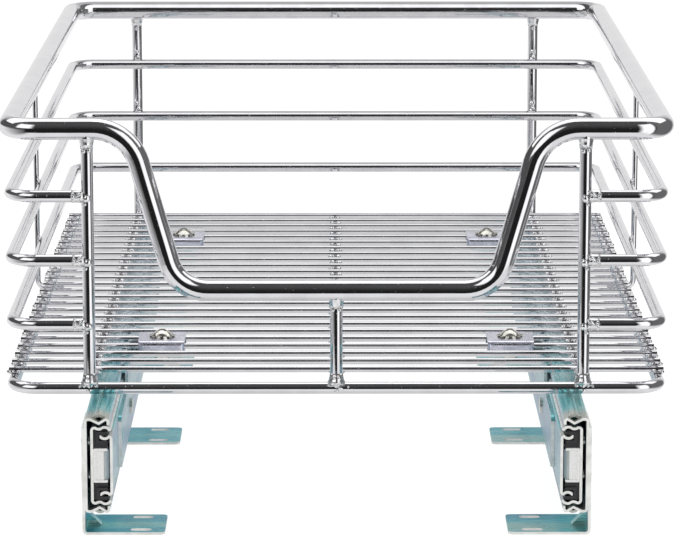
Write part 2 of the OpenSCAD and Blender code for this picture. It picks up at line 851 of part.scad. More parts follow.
// Channel between the guides that the inner member's stop meets
module front_stop() {
  d0 = middle_web_d + slide_steel_t + seat_gap;
  color(white_plastic) along_slide(slide_front_y, guide_len) difference() {
    translate([(d0 + stop_end_d) / 2, 0]) rounded_rect(stop_end_d - d0, stop_h, stop_wall / 2);
    translate([d0 + stop_wall, stop_wall - stop_h / 2]) square([slide_t, stop_h - 2 * stop_wall]);
  }
}

// Bumper across the rear end of the outer member
module rear_bumper() {
  color(black_plastic) along_slide(slide_front_y + moving_len + running_gap, bumper_len - running_gap)
    translate([slide_steel_t + seat_gap + bumper_w / 2, 0]) rounded_rect(bumper_w, bumper_h, bumper_corner_r);
}

// ---------- brackets ----------

bracket_fronts = [for (n = [0 : 2]) slide_front_y + n * bracket_pitch];

// L bracket, its leg outside the slide and its foot turned in
module bracket(n) {
  mid_y = bracket_fronts[n] + bracket_w / 2;
  color(zinc) difference() {
    translate([bracket_face_x, mid_y + bracket_w / 2, 0]) rotate([90, 0, 0])
      linear_extrude(bracket_w) mirror([1, 0]) {
        translate([0, bracket_bend_r]) square([bracket_t, bracket_leg - bracket_bend_r]);
        translate([bracket_bend_r, bracket_bend_r]) quarter_ring(bracket_bend_r, bracket_t, 180);
        translate([bracket_bend_r, 0]) square([bracket_foot - bracket_bend_r, bracket_t]);
      }
    for (side = [-1, 1]) translate([bracket_face_x - slot_reach, mid_y + side * slot_spacing / 2, -past])
      linear_extrude(bracket_t + 2 * past) slot_2d(slot_len, slot_w);
    for (side = [0, 1]) translate([bracket_face_x - bracket_foot, mid_y, -past]) mirror([0, side, 0])
      translate([0, bracket_w / 2, 0]) linear_extrude(bracket_t + 2 * past)
        mirror([1, 0]) outside_corner(foot_corner_r);
    for (rise = [-rivet_rise, rivet_rise])
      across_slide(-bracket_t - past, past, mid_y, rise, rivet_d + hole_gap);
  }
  // Stamped gusset in the bend, below the slide
  color(zinc) translate([slide_web_x, mid_y + gusset_w / 2, bracket_t]) rotate([90, 0, 0])
    linear_extrude(gusset_w) mirror([1, 0]) polygon([[0, 0], [gusset, 0], [0, gusset]]);
}

// Repeats its children, given at y 0 and h 0, at every rivet of the right side
module rivet_places() {
  for (y = bracket_fronts, rise = [-rivet_rise, rivet_rise])
    translate([0, y + bracket_w / 2, rise]) children();
}

module bracket_rivets() {
  color(bright_zinc) rivet_places() {
    across_slide(-bracket_t - rivet_head_t, slide_steel_t + rivet_tail_t, 0, 0, rivet_d);
    across_slide(-bracket_t - rivet_head_t, -bracket_t, 0, 0, rivet_head_d);
    across_slide(slide_steel_t, slide_steel_t + rivet_tail_t, 0, 0, rivet_tail_d);
  }
}

// ---------- nodes ----------

top_rim();
side_rail(3);  // rail_upper
side_rail(2);  // rail_middle
side_rail(1);  // rail_lower
bottom_frame();
front_post(-post_x, rim_z);  // front_post_left
front_post(post_x, rim_z);  // front_post_right
front_post(0, dip_z);  // front_post_centre
on_left() rear_post();  // rear_post_left
rear_post();  // rear_post_right
on_left() side_post();  // side_post_left
side_post();  // side_post_right
underfloor_wires();
floor_wires();
on_left() clamp_plate(clamp_ys[0]);  // clamp_front_left
clamp_plate(clamp_ys[0]);  // clamp_front_right
on_left() clamp_plate(clamp_ys[1]);  // clamp_rear_left
clamp_plate(clamp_ys[1]);  // clamp_rear_right
clamp_washers();
clamp_bolts();
clamp_nuts();
on_left() carrier();  // carrier_left
carrier();  // carrier_right
carrier_screws();
on_left() inner_member();  // inner_member_left
inner_member();  // inner_member_right
on_left() inner_cage();  // inner_cage_left
inner_cage();  // inner_cage_right
on_left() inner_balls();  // inner_balls_left
inner_balls();  // inner_balls_right
on_left() intermediate_member();  // intermediate_member_left
intermediate_member();  // intermediate_member_right
on_left() front_guides();  // front_guides_left
front_guides();  // front_guides_right
on_left() front_stop();  // front_stop_left
front_stop();  // front_stop_right
on_left() outer_cage();  // outer_cage_left
outer_cage();  // outer_cage_right
on_left() outer_balls();  // outer_balls_left
outer_balls();  // outer_balls_right
on_left() outer_member();  // outer_member_left
outer_member();  // outer_member_right
on_left() rear_bumper();  // rear_bumper_left
rear_bumper();  // rear_bumper_right
on_left() bracket(0);  // bracket_front_left
on_left() bracket(1);  // bracket_middle_left
on_left() bracket(2);  // bracket_rear_left
bracket(0);  // bracket_front_right
bracket(1);  // bracket_middle_right
bracket(2);  // bracket_rear_right
on_left() bracket_rivets();  // bracket_rivets_left
bracket_rivets();  // bracket_rivets_right
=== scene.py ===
import json
import math

import bpy
from mathutils import Euler, Matrix, Vector


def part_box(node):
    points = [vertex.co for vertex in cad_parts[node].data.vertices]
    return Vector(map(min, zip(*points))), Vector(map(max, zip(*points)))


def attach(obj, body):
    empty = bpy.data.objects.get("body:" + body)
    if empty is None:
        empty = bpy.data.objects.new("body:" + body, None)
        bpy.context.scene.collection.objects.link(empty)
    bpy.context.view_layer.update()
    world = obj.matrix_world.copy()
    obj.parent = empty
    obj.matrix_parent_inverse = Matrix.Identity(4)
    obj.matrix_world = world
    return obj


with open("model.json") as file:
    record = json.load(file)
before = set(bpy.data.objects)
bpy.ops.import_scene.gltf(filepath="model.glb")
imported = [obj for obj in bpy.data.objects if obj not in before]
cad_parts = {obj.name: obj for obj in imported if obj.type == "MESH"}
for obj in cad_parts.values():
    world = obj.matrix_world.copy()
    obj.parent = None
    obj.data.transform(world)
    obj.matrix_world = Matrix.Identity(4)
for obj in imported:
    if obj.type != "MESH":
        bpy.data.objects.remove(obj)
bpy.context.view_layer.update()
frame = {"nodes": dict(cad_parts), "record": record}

MM = 0.001
SIDES = ("left", "right")
nodes = frame["nodes"]


# ---------- camera ----------

IMAGE_W = 679
FOCAL_PX = 3528
SENSOR_W = 36.0
CAMERA_PLACE = Vector((-3.1, -1758.4, 431.4)) * MM
CAMERA_PITCH, CAMERA_YAW = 11.50, 0.165
CLIP_NEAR, CLIP_FAR = 0.05, 20


def long_lens_camera():
    data = bpy.data.cameras.new("camera")
    data.sensor_width = SENSOR_W
    data.lens = SENSOR_W * FOCAL_PX / IMAGE_W
    data.clip_start, data.clip_end = CLIP_NEAR, CLIP_FAR
    camera = bpy.data.objects.new("camera", data)
    bpy.context.scene.collection.objects.link(camera)
    camera.location = CAMERA_PLACE
    camera.rotation_euler = Euler((math.radians(90 - CAMERA_PITCH), 0, math.radians(-CAMERA_YAW)))
    bpy.context.scene.camera = camera


long_lens_camera()
bpy.context.scene.view_settings.view_transform = "Standard"


# ---------- node trees and places ----------

class Graph:
    """A node tree that is written as short calls."""

    def __init__(self, tree):
        self.tree = tree

    def add(self, kind, inputs=None, **settings):
        node = self.tree.nodes.new(kind)
        for name, value in settings.items():
            setattr(node, name, value)
        for key, value in (inputs or {}).items():
            self.plug(node.inputs[key], value)
        return node

    def plug(self, socket, value):
        """Links a socket to another node's output, or sets it to a constant."""
        if isinstance(value, bpy.types.NodeSocket):
            self.tree.links.new(value, socket)
        else:
            socket.default_value = value

    def math(self, operation, a, b=0.0):
        return self.add("ShaderNodeMath", {0: a, 1: b}, operation=operation).outputs[0]

    def times(self, a, b):
        return self.math("MULTIPLY", a, b)

    def ramp(self, value, low, high, to_low=0.0, to_high=1.0, shape="SMOOTHSTEP"):
        """Goes from to_low to to_high while the value goes from low to high."""
        ends = {0: value, 1: low, 2: high, 3: to_low, 4: to_high}
        return self.add("ShaderNodeMapRange", ends, interpolation_type=shape).outputs[0]

    def band(self, value, low, high, soft):
        """1 between low and high and 0 outside them, with soft edges."""
        up = self.ramp(value, low - soft, low + soft)
        down = self.ramp(value, high - soft, high + soft, 1.0, 0.0)
        return self.times(up, down)

    def colours(self, value, stops):
        node = self.add("ShaderNodeValToRGB", {0: value})
        marks = node.color_ramp.elements
        for place, colour in stops[1:-1]:
            marks.new(place).color = colour
        marks[0].color, marks[-1].color = stops[0][1], stops[-1][1]
        return node.outputs["Color"]

    def mix(self, factor, a, b, kind="RGBA"):
        """Colour a where the factor is 0 and colour b where it is 1."""
        node = self.add("ShaderNodeMix", {"Factor": factor, "A": a, "B": b}, data_type=kind)
        return node.outputs["Result"]

    def blend(self, factor, a, b):
        """Number a where the factor is 0 and number b where it is 1."""
        return self.mix(factor, a, b, "FLOAT")

    def cover(self, factor, a, b):
        """Shader a where the factor is 0 and shader b where it is 1."""
        return self.add("ShaderNodeMixShader", {0: factor, 1: a, 2: b}).outputs[0]


def grey(level):
    return (level, level, level, 1)


def box_mm(node):
    """The lowest and highest corner of a CAD node, in millimetres."""
    low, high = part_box(node)
    return Vector(low) / MM, Vector(high) / MM


def middle_mm(node):
    low, high = box_mm(node)
    return (low + high) / 2


# ---------- studio ----------

# Plain light from all round on what doesn't mirror
ROOM = 0.86
# The room that the chrome mirrors, with 1 for white. An azimuth is in degrees, 0 in front of the basket
# and positive to the right. A height is the upward part of a direction, 0 at the horizon and 1 straight
# up. A pair of levels goes with a pair of azimuths or heights. An edge is where one thing gives way to
# the next, or half the width of that change.
FRONT_WALL, FRONT_WALL_HEIGHTS = (0.016, 0.08), (0.0, 0.9)
RIGHT_WALL, RIGHT_WALL_EDGE = 0.16, (56, 70)
LEFT_WALL, LEFT_WALL_FOOT, LEFT_WALL_EDGE = 0.09, (-0.02, 0.06), (-40, -30)
LEFT_GROUND, LEFT_GROUND_SPAN = (0.92, 0.07), (-118, -34)
SWEEP, SWEEP_HEIGHTS, SWEEP_EDGE = (0.84, 0.55), (0.2, 0.5), (134, 154)
SOFT_BOX, SOFT_BOX_EDGE = 1.3, 5
RIGHT_BOX_SPAN, RIGHT_BOX_TOP = (19, 57), (0.70, 0.80)
LEFT_BOX_SPAN, LEFT_BOX_HEIGHTS, LEFT_BOX_END = (-63, -19), (0.21, 0.77), 0.03


def studio_world():
    """White sweep behind, a dark room in front and beside the basket, and a soft box on each side."""
    world = bpy.data.worlds.new("studio")
    bpy.context.scene.world = world
    world.use_nodes = True
    world.node_tree.nodes.clear()
    g = Graph(world.node_tree)
    toward = g.add("ShaderNodeTexCoord").outputs["Generated"]
    x, y, z = g.add("ShaderNodeSeparateXYZ", {0: toward}).outputs
    azimuth = g.times(g.math("ARCTAN2", x, g.times(y, -1.0)), 180 / math.pi)
    level = g.ramp(z, *FRONT_WALL_HEIGHTS, *FRONT_WALL)
    level = g.blend(g.ramp(azimuth, *RIGHT_WALL_EDGE), level, RIGHT_WALL)
    ground = g.ramp(azimuth, *LEFT_GROUND_SPAN, *LEFT_GROUND, shape="LINEAR")
    left = g.blend(g.ramp(z, *LEFT_WALL_FOOT), ground, LEFT_WALL)
    level = g.blend(g.ramp(azimuth, *LEFT_WALL_EDGE, 1.0, 0.0), level, left)
    sweep = g.ramp(z, *SWEEP_HEIGHTS, *SWEEP)
    level = g.blend(g.ramp(g.math("ABSOLUTE", azimuth), *SWEEP_EDGE), level, sweep)
    right_box = g.times(g.band(azimuth, *RIGHT_BOX_SPAN, SOFT_BOX_EDGE),
                        g.ramp(z, *RIGHT_BOX_TOP, 1.0, 0.0))
    left_box = g.times(g.band(azimuth, *LEFT_BOX_SPAN, SOFT_BOX_EDGE),
                       g.band(z, *LEFT_BOX_HEIGHTS, LEFT_BOX_END))
    for soft_box in (right_box, left_box):
        level = g.blend(soft_box, level, SOFT_BOX)
    path = g.add("ShaderNodeLightPath")
    level = g.blend(path.outputs["Is Glossy Ray"], ROOM, level)
    level = g.blend(path.outputs["Is Camera Ray"], level, 1.0)
    sky = g.add("ShaderNodeBackground", {"Color": grey(1), "Strength": level})
    g.add("ShaderNodeOutputWorld", {"Surface": sky.outputs[0]})


LIGHT_FRONT, LIGHT_BACK, LIGHT_HALF_W, LIGHT_Z = -0.195, 0.22, 0.70, 0.56
LIGHT_RADIANCE = 1.15


def overhead_box():
    """Wide soft box that starts straight above the front of the rim."""
    data = bpy.data.lights.new("overhead_box", "AREA")
    data.shape = "RECTANGLE"
    data.size = 2 * LIGHT_HALF_W
    data.size_y = LIGHT_BACK - LIGHT_FRONT
    data.energy = LIGHT_RADIANCE * math.pi * data.size * data.size_y
    light = bpy.data.objects.new("overhead_box", data)
    light.location = (0, (LIGHT_FRONT + LIGHT_BACK) / 2, LIGHT_Z)
    light.visible_camera = False
    bpy.context.scene.collection.objects.link(light)


FLOOR_REACH = 3.0
FLOOR_GREY, SEEN_GREY, SEEN_GLOW = 0.86, 0.33, 0.80
# The floor in the chrome: a bright field with soft edges, and in it a painted shadow of the basket, a dimmer
# patch under it
FIELD, FIELD_FRONT, FIELD_FRONT_EDGE = 0.92, -0.455, 0.02
FIELD_SIDES, FIELD_SIDE_EDGE = (-0.28, 0.27), 0.06
BASKET_SHADOW = 0.74
BASKET_SHADOW_SIDES, BASKET_SHADOW_SIDE_EDGE = (-0.16, 0.16), 0.04
BASKET_SHADOW_ENDS, BASKET_SHADOW_END_EDGE = (-0.245, 0.27), 0.03


def white_floor():
    """White to the camera, pale grey where it lights the basket, and a bright field in the chrome with a
    painted shadow of the basket in it.
    """
    material = bpy.data.materials.new("white_floor")
    material.use_nodes = True
    material.node_tree.nodes.clear()
    g = Graph(material.node_tree)
    place = g.add("ShaderNodeTexCoord").outputs["Object"]
    x, y = g.add("ShaderNodeSeparateXYZ", {0: place}).outputs[:2]
    path = g.add("ShaderNodeLightPath")
    matte = g.add("ShaderNodeBsdfDiffuse", {"Color": grey(FLOOR_GREY)}).outputs[0]
    dim = g.add("ShaderNodeBsdfDiffuse", {"Color": grey(SEEN_GREY)}).outputs[0]
    glow = g.add("ShaderNodeEmission", {"Color": grey(1), "Strength": SEEN_GLOW}).outputs[0]
    seen = g.add("ShaderNodeAddShader", {0: dim, 1: glow}).outputs[0]
    # Painted shadow of the basket: the floor that the chrome sees is dimmer under the basket
    basket_shadow = g.times(g.band(x, *BASKET_SHADOW_SIDES, BASKET_SHADOW_SIDE_EDGE), g.band(y, *BASKET_SHADOW_ENDS, BASKET_SHADOW_END_EDGE))
    shine = g.blend(basket_shadow, FIELD, BASKET_SHADOW)
    bright = g.add("ShaderNodeEmission", {"Color": grey(1), "Strength": shine}).outputs[0]
    field = g.times(g.ramp(y, FIELD_FRONT - FIELD_FRONT_EDGE, FIELD_FRONT + FIELD_FRONT_EDGE),
                    g.band(x, *FIELD_SIDES, FIELD_SIDE_EDGE))
    mirrored = g.cover(field, g.add("ShaderNodeBsdfTransparent").outputs[0], bright)
    lit = g.cover(path.outputs["Is Camera Ray"], matte, seen)
    lit = g.cover(path.outputs["Is Glossy Ray"], lit, mirrored)
    g.add("ShaderNodeOutputMaterial", {"Surface": lit})
    return material


def studio_floor():
    bpy.ops.object.select_all(action="DESELECT")
    bpy.ops.mesh.primitive_plane_add(size=2 * FLOOR_REACH)
    floor = bpy.context.active_object
    floor.name = "floor"
    floor.data.materials.append(white_floor())


studio_world()
overhead_box()
studio_floor()


# ---------- finishes ----------

FINE_RELIEF = 0.02


def finish(name, **constants):
    material = bpy.data.materials.new(name)
    material.use_nodes = True
    shader = material.node_tree.nodes["Principled BSDF"]
    for key, value in constants.items():
        shader.inputs[key].default_value = value
    return material, Graph(material.node_tree), shader


def object_place(g, scale=(1, 1, 1)):
    coordinates = g.add("ShaderNodeTexCoord").outputs["Object"]
    return g.add("ShaderNodeMapping", {"Vector": coordinates, "Scale": scale}).outputs[0]


def noise(g, place, scale, detail=2.0, roughness=0.5):
    settings = {"Vector": place, "Scale": scale, "Detail": detail, "Roughness": roughness}
    return g.add("ShaderNodeTexNoise", settings).outputs["Fac"]


def coat(g, shader, colour, rough):
    g.plug(shader.inputs["Base Color"], colour)
    g.plug(shader.inputs["Roughness"], rough)


def bump(g, shader, height, relief=FINE_RELIEF):
    """Raises the surface by up to relief, in millimetres."""
    node = g.add("ShaderNodeBump", {"Height": height, "Strength": 1.0, "Distance": relief * MM})
    g.plug(shader.inputs["Normal"], node.outputs[0])


def dimmed(colour, share):
    return tuple(channel * share for channel in colour[:3]) + (1,)


CLEAR_CHROME, SMUDGED_CHROME = (0.80, 0.80, 0.82, 1), (0.74, 0.73, 0.76, 1)
WELD_CHROME, WELD_GRAIN = grey(0.92), (0.74, 0.74, 0.76, 1)


def chrome_wire():
    """Bright plate with faint smudges, waves and pits."""
    material, g, shader = finish("chrome_wire", Metallic=1.0)
    place = object_place(g)
    smudge = g.ramp(noise(g, place, scale=90, detail=3), 0.35, 0.7)
    rough = g.ramp(noise(g, place, scale=400), 0.35, 0.75, 0.04, 0.10)
    coat(g, shader, g.mix(smudge, CLEAR_CHROME, SMUDGED_CHROME), rough)
    pits = g.ramp(noise(g, place, scale=900, roughness=0.6), 0.69, 0.78)
    waves = noise(g, place, scale=160, detail=1)
    bump(g, shader, g.times(g.math("SUBTRACT", waves, pits), 0.5), relief=0.06)
    return material


def weld_chrome(name, smooth, rough, relief):
    """Chrome over the rough skin of a weld."""
    material, g, shader = finish(name, Metallic=1.0)
    place = object_place(g)
    grain = g.ramp(noise(g, place, scale=700, detail=3), 0.3, 0.7)
    coat(g, shader, g.mix(grain, WELD_CHROME, WELD_GRAIN), g.blend(grain, smooth, rough))
    bump(g, shader, noise(g, place, scale=1400), relief)
    return material


ZINC_TINTS = [
    (0.00, (0.09, 0.32, 0.47, 1)),
    (0.28, (0.14, 0.53, 0.61, 1)),
    (0.52, (0.24, 0.65, 0.67, 1)),
    (0.74, (0.44, 0.66, 0.61, 1)),
    (1.00, (0.42, 0.55, 0.80, 1)),
]
ROLLED_ALONG, ROLLED_ACROSS = (1, 0.06, 1), (0.08, 1, 1)
STREAK_ZINC = (0.70, 0.77, 0.76, 1)
WARM_ZINC = (0.58, 0.54, 0.48, 1)
PAINTED_REFLECTION_ZINC = (0.80, 0.86, 0.88, 1)
# Where the warm tint fades out and the pale painted reflection of the white room comes in, in metres behind
# the slides' front ends
WARM_FADE, REFLECTION_FADE, FADE_SHARE = (0.005, 0.020), (0.045, 0.13), 0.85


def blue_zinc(name, drawn, depth, warm_front_and_painted_reflection=False):
    """Blue passivated zinc. drawn is the way that the sheet was rolled, along which its tints run."""
    material, g, shader = finish(name, Metallic=0.72)
    cloud = g.ramp(noise(g, object_place(g, drawn), scale=60), 0.30, 0.70)
    streak = g.ramp(noise(g, object_place(g, drawn), scale=900, detail=3), 0.30, 0.72)
    tint = g.colours(g.times(g.blend(0.30, cloud, streak), depth), ZINC_TINTS)
    tint = g.mix(g.times(g.ramp(streak, 0.74, 0.95), 0.35), tint, STREAK_ZINC)
    if warm_front_and_painted_reflection:
        y = g.add("ShaderNodeSeparateXYZ", {0: object_place(g)}).outputs["Y"]
        back = g.math("SUBTRACT", y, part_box("inner_member_right")[0][1])
        # Painted reflection of the white room: the slides turn pale from a few centimetres behind their
        # front ends
        tint = g.mix(g.ramp(back, *REFLECTION_FADE, 0.0, FADE_SHARE), tint, PAINTED_REFLECTION_ZINC)
        # A warm tint in the first few millimetres behind the front ends
        tint = g.mix(g.ramp(back, *WARM_FADE, FADE_SHARE, 0.0), tint, WARM_ZINC)
    coat(g, shader, tint, g.blend(streak, 0.24, 0.38))
    bump(g, shader, streak)
    return material


def tinted_zinc(name, one, other):
    """Smooth zinc whose two tints run along the slide."""
    material, g, shader = finish(name, Metallic=0.8)
    cloud = g.ramp(noise(g, object_place(g, ROLLED_ALONG), scale=120), 0.35, 0.65)
    coat(g, shader, g.mix(cloud, one, other), g.blend(cloud, 0.24, 0.34))
    bump(g, shader, noise(g, object_place(g, ROLLED_ALONG), scale=900))
    return material


def plain_metal(name, colour, rough, metallic=1.0):
    """Metal of one colour in lighter and dimmer, rougher clouds."""
    material, g, shader = finish(name, Metallic=metallic)
    place = object_place(g)
    cloud = g.ramp(noise(g, place, scale=200, detail=3), 0.3, 0.7)
    coat(g, shader, g.mix(cloud, colour, dimmed(colour, 0.82)), g.blend(cloud, rough * 0.8, rough * 1.3))
    bump(g, shader, noise(g, place, scale=1500))
    return material


def plastic(name, colour, rough):
    """Plastic or rubber with a fine moulded grain."""
    material, g, shader = finish(name, Roughness=rough)
    grain = noise(g, object_place(g), scale=2500)
    g.plug(shader.inputs["Base Color"], g.mix(g.ramp(grain, 0.3, 0.7), colour, dimmed(colour, 0.8)))
    bump(g, shader, grain)
    return material


FLARE_CHROME = weld_chrome("flare_chrome", smooth=0.14, rough=0.24, relief=0.01)
COLLAR_CHROME = weld_chrome("collar_chrome", smooth=0.12, rough=0.30, relief=0.05)
BEAD_CHROME = weld_chrome("bead_chrome", smooth=0.03, rough=0.10, relief=0.03)
BRACKET_ZINC = blue_zinc("bracket_zinc", ROLLED_ACROSS, 0.86)
# Cut edges: bare steel, lighter than the zinc, with a painted highlight that makes them near white
CUT_EDGE_HIGHLIGHT = plain_metal("cut_edge_highlight", (0.97, 0.97, 0.94, 1), 0.60, 0.08)
# Painted light: the faces of the zinc that are turned sideways get tints of their own for the light and
# reflections that they catch
SIDE_LIGHT_WEB_ZINC = tinted_zinc("side_light_web_zinc", (0.29, 0.54, 0.61, 1), (0.39, 0.52, 0.66, 1))
SIDE_LIGHT_FLANK_ZINC = tinted_zinc("side_light_flank_zinc", (0.42, 0.62, 0.74, 1), (0.52, 0.62, 0.68, 1))
SPRING_ZINC = plain_metal("spring_zinc", (0.82, 0.86, 0.85, 1), 0.5, 0.2)
CLAMP_ZINC = plain_metal("clamp_zinc", (0.80, 0.80, 0.92, 1), 0.24)
SCREW_ZINC = plain_metal("screw_zinc", (0.84, 0.83, 0.76, 1), 0.20)
# Painted light: the guides' faces turned to the front are a lit grey, lighter than the black plastic, so
# that their recesses look shaded
FRONT_LIT_PLASTIC = plastic("front_lit_plastic", (0.026, 0.026, 0.029, 1), 0.42)
SLOT_FINISHES = {
    "chrome_wire": chrome_wire(),
    "blue_zinc": blue_zinc("slide_zinc", ROLLED_ALONG, 0.72, warm_front_and_painted_reflection=True),
    "bright_zinc": plain_metal("bright_zinc", (0.76, 0.78, 0.78, 1), 0.24),
    "ball_steel": plain_metal("ball_steel", (0.65, 0.65, 0.67, 1), 0.10),
    "cage_steel": plain_metal("cage_steel", (0.60, 0.61, 0.62, 1), 0.30),
    "black_plastic": plastic("black_plastic", (0.010, 0.010, 0.011, 1), 0.42),
    "white_plastic": plastic("white_plastic", (0.96, 0.96, 0.95, 1), 0.40),
    "black_rubber": plastic("black_rubber", grey(0.014), 0.70),
}
# The first of these that starts a node's name gives its finish, in place of its slot's
NODE_FINISHES = {
    "bracket_rivets": SCREW_ZINC,
    "bracket": BRACKET_ZINC,
    "carrier_screws": SCREW_ZINC,
    "clamp_bolts": SCREW_ZINC,
    "clamp_washers": SCREW_ZINC,
    "clamp_nuts": SCREW_ZINC,
    "clamp": CLAMP_ZINC,
}


def node_finish(node, slot):
    for start, material in NODE_FINISHES.items():
        if node.startswith(start):
            return material
    return SLOT_FINISHES[slot]


for row in frame["record"]["subparts"]:
    materials = nodes[row["node"]].data.materials
    materials.clear()
    materials.append(node_finish(row["node"], row["material_slot"]))


# ---------- painted light on sideways faces, front faces and cut edges ---

SHEET = 1.2 * MM
FOOT_TOP = 4 * MM
HEEL_BEND = 3 * MM
EDGE_REACH = 0.2 * MM
# Shares of a face's normal along an axis: turned to it, square to it, and hardly turned to it
TURNED, SQUARE, HARDLY = 0.9, 0.98, 0.3


def paint_faces(node, material, test):
    """Gives the faces of a node that pass the test a finish of their own."""
    mesh = nodes[node].data
    mesh.materials.append(material)
    place = len(mesh.materials) - 1
    for face in mesh.polygons:
        if test(face.normal, face.center):
            face.material_index = place


def on_web(normal, centre):
    return abs(normal.x) > TURNED


def on_wall(normal, centre):
    return abs(normal.x) > TURNED and centre.z > FOOT_TOP


def on_front(normal, centre):
    return normal.y < -TURNED


def near_end(node):
    """The test for the cut faces at a node's front and rear ends."""
    low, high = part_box(node)

    def test(normal, centre):
        at_front, at_rear = centre.y < low[1] + EDGE_REACH, centre.y > high[1] - EDGE_REACH
        return abs(normal.y) > SQUARE and (at_front or at_rear)

    return test


def on_bracket_edge(node):
    """The test for the cut faces on a bracket's top and round its foot."""
    low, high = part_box(node)
    foot_end = max(abs(low[0]), abs(high[0])) - HEEL_BEND

    def test(normal, centre):
        on_top = normal.z > TURNED and centre.z > high[2] - EDGE_REACH
        round_foot = abs(normal.z) < HARDLY and centre.z < SHEET and abs(centre.x) < foot_end
        return on_top or round_foot

    return test


for side in SIDES:
    for part, web in (("outer_member", SIDE_LIGHT_FLANK_ZINC), ("inner_member", SIDE_LIGHT_WEB_ZINC), ("carrier", SIDE_LIGHT_WEB_ZINC)):
        paint_faces(f"{part}_{side}", web, on_web)
    for part in ("outer_member", "intermediate_member", "inner_member", "carrier"):
        # A painted highlight on the cut ends
        paint_faces(f"{part}_{side}", CUT_EDGE_HIGHLIGHT, near_end(f"{part}_{side}"))
    # Painted light on the guides' front faces
    paint_faces(f"front_guides_{side}", FRONT_LIT_PLASTIC, on_front)
    for place in ("front", "middle", "rear"):
        bracket = f"bracket_{place}_{side}"
        # Painted light on the brackets' sideways walls, and a painted highlight on their cut edges
        paint_faces(bracket, SIDE_LIGHT_FLANK_ZINC, on_wall)
        paint_faces(bracket, CUT_EDGE_HIGHLIGHT, near_end(bracket))
        paint_faces(bracket, CUT_EDGE_HIGHLIGHT, on_bracket_edge(bracket))


# ---------- stops in the slides' front ends ----------

def block(low, high, slant, bevel):
    """A bevelled block between two corners, in millimetres. slant moves its inner front edge back."""
    low, high = low * MM, high * MM
    middle = (low + high) / 2
    bpy.ops.object.select_all(action="DESELECT")
    bpy.ops.mesh.primitive_cube_add(size=1, location=middle)
    piece = bpy.context.active_object
    piece.scale = high - low
    bpy.ops.object.transform_apply(location=True, rotation=False, scale=True)
    for vertex in piece.data.vertices:
        if vertex.co.x < middle.x and vertex.co.y < middle.y:
            vertex.co.y += slant * MM
    bpy.ops.object.mode_set(mode="EDIT")
    bpy.ops.mesh.select_all(action="SELECT")
    bpy.ops.mesh.bevel(offset=bevel * MM, segments=2, affect="EDGES")
    bpy.ops.object.mode_set(mode="OBJECT")
    return piece


def on_both_slides(piece, name, material):
    """Finishes the right hand piece and adds its mirror image on the left."""
    piece.data.materials.append(material)
    twin = piece.copy()
    twin.data = piece.data.copy()
    bpy.context.scene.collection.objects.link(twin)
    twin.data.transform(Matrix.Diagonal((-1, 1, 1, 1)))
    twin.data.flip_normals()
    for side, item in (("right", piece), ("left", twin)):
        item.name = item.data.name = f"{name}_{side}"
        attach(item, f"intermediate_{side}")


def stop_blocks():
    """White inserts that fill the mouths of the channel stops."""
    low, high = box_mm("front_stop_right")
    piece = block(low + Vector((1.6, 0.43, 0.85)), high - Vector((0.15, 1.28, 0.85)), slant=0.0, bevel=0.45)
    on_both_slides(piece, "stop_block", SLOT_FINISHES["white_plastic"])


def stop_springs():
    """Pale tabs between the channel stops and the inner members."""
    low, high = box_mm("front_stop_right")
    far = Vector((low.x + 1.5, low.y + 7.73, high.z - 1.05))
    piece = block(low + Vector((-0.6, 0.73, 1.05)), far, slant=2.4, bevel=0.2)
    on_both_slides(piece, "stop_spring", SPRING_ZINC)


stop_blocks()
stop_springs()


# ---------- welds ----------
# Places and sizes from here on are given in millimetres.

WIRE_R, RIM_R, SIDE_POST_R = 2.8, 5.0, 1.4
POST_X, FRONT_Y = middle_mm("front_post_right")[:2]
FRAME_Z = middle_mm("bottom_frame").z
RAIL_Z = tuple(middle_mm(f"rail_{level}").z for level in ("lower", "middle", "upper"))
RAIL_X = box_mm("rail_lower")[1].x - WIRE_R
REAR_Y = box_mm("rail_lower")[1].y - WIRE_R
RIM_Z = box_mm("top_rim")[1].z - RIM_R
DIP_Z = box_mm("top_rim")[0].z + RIM_R
SIDE_POST_X = box_mm("side_post_right")[1].x - SIDE_POST_R
SIDE_POST_Y = middle_mm("side_post_right").y
FLOOR_PITCH, FLOOR_COUNT = 16.0, 25
FLOOR_FIRST_Y = middle_mm("floor_wires").y - FLOOR_PITCH * (FLOOR_COUNT - 1) / 2
FLOOR_TACK_Z = middle_mm("floor_wires").z - 0.95
SLEEVE_WAIST = 0.10


def roughen(lump, seed):
    """Shakes the mesh in edit mode and leaves edit mode."""
    bpy.ops.mesh.select_all(action="SELECT")
    bpy.ops.transform.vertex_random(offset=lump * MM, uniform=0.3, normal=0.4, seed=seed)
    bpy.ops.mesh.normals_make_consistent(inside=False)
    bpy.ops.object.mode_set(mode="OBJECT")


def make_bead(segments, rings, lump, seed):
    """A lumpy drop of weld, 1 mm in radius."""
    bpy.ops.object.select_all(action="DESELECT")
    bpy.ops.mesh.primitive_uv_sphere_add(segments=segments, ring_count=rings, radius=MM)
    bead = bpy.context.active_object
    bpy.ops.object.mode_set(mode="EDIT")
    roughen(lump, seed)
    return bead


